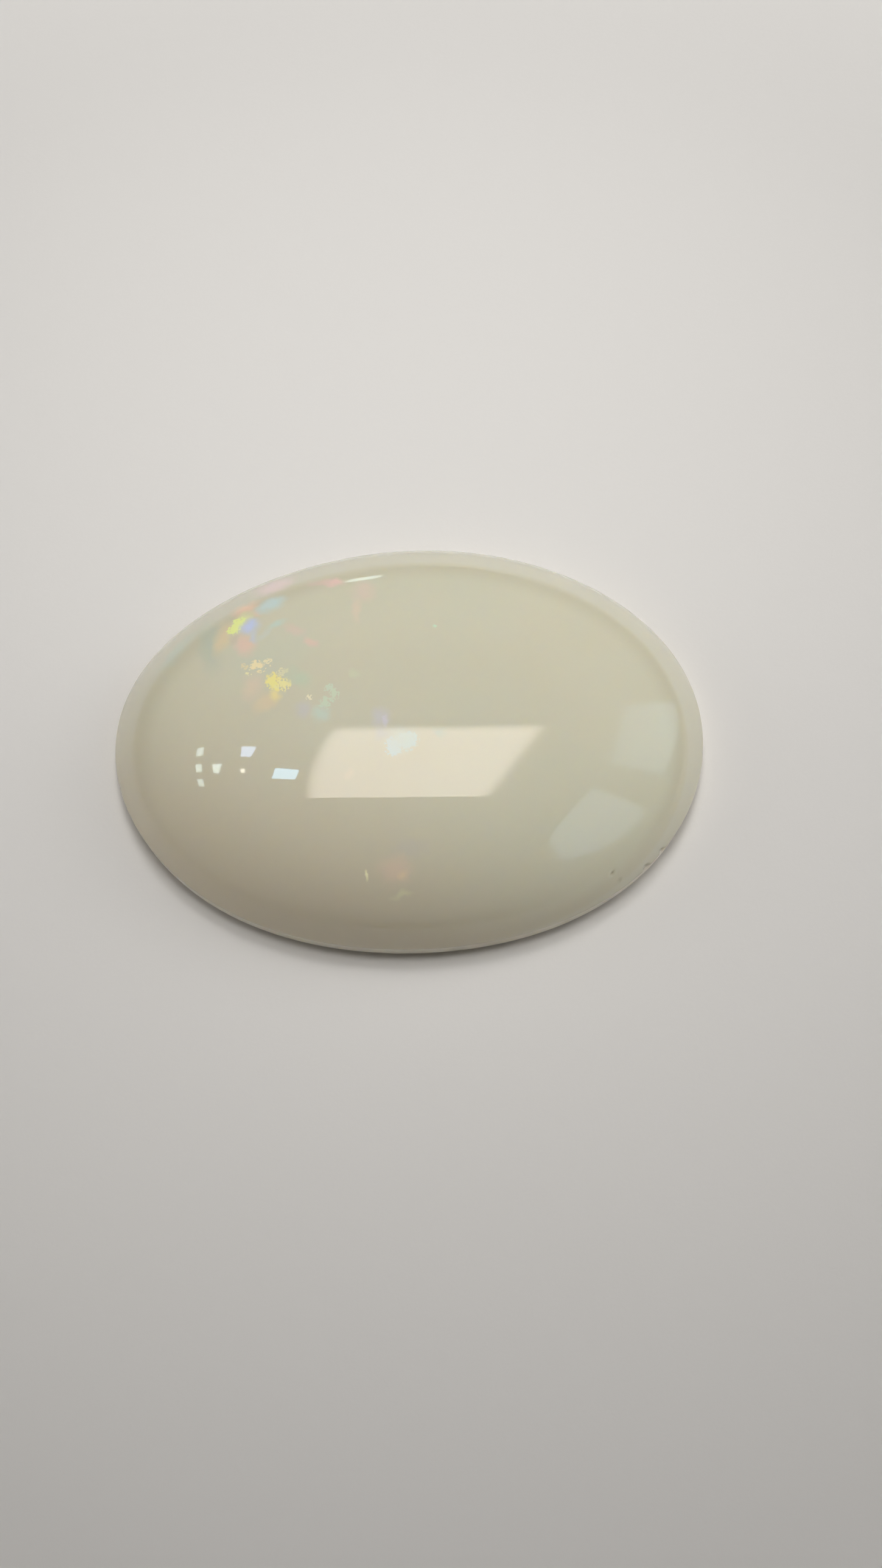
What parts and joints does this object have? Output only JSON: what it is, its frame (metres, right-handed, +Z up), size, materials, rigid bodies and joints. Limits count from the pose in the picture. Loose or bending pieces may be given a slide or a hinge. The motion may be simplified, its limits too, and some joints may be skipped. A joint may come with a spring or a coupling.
{
  "type": "polished oval opal cabochon",
  "caption": "Polished oval gemstone with a low domed crown, a crisp girdle edge and a flat base to set or rest it on.",
  "frame": {"origin": "centre of the stone's outline, on the plane that its flat base rests on", "axes": "+X along the stone's length, +Y across its width, +Z up through the crown"},
  "size_m": [0.03, 0.022, 0.0055],
  "materials": {
    "opal_cabochon": "polished"
  },
  "bodies": {
    "root": {"opal_cabochon": "opal_cabochon"}
  },
  "joints": []
}
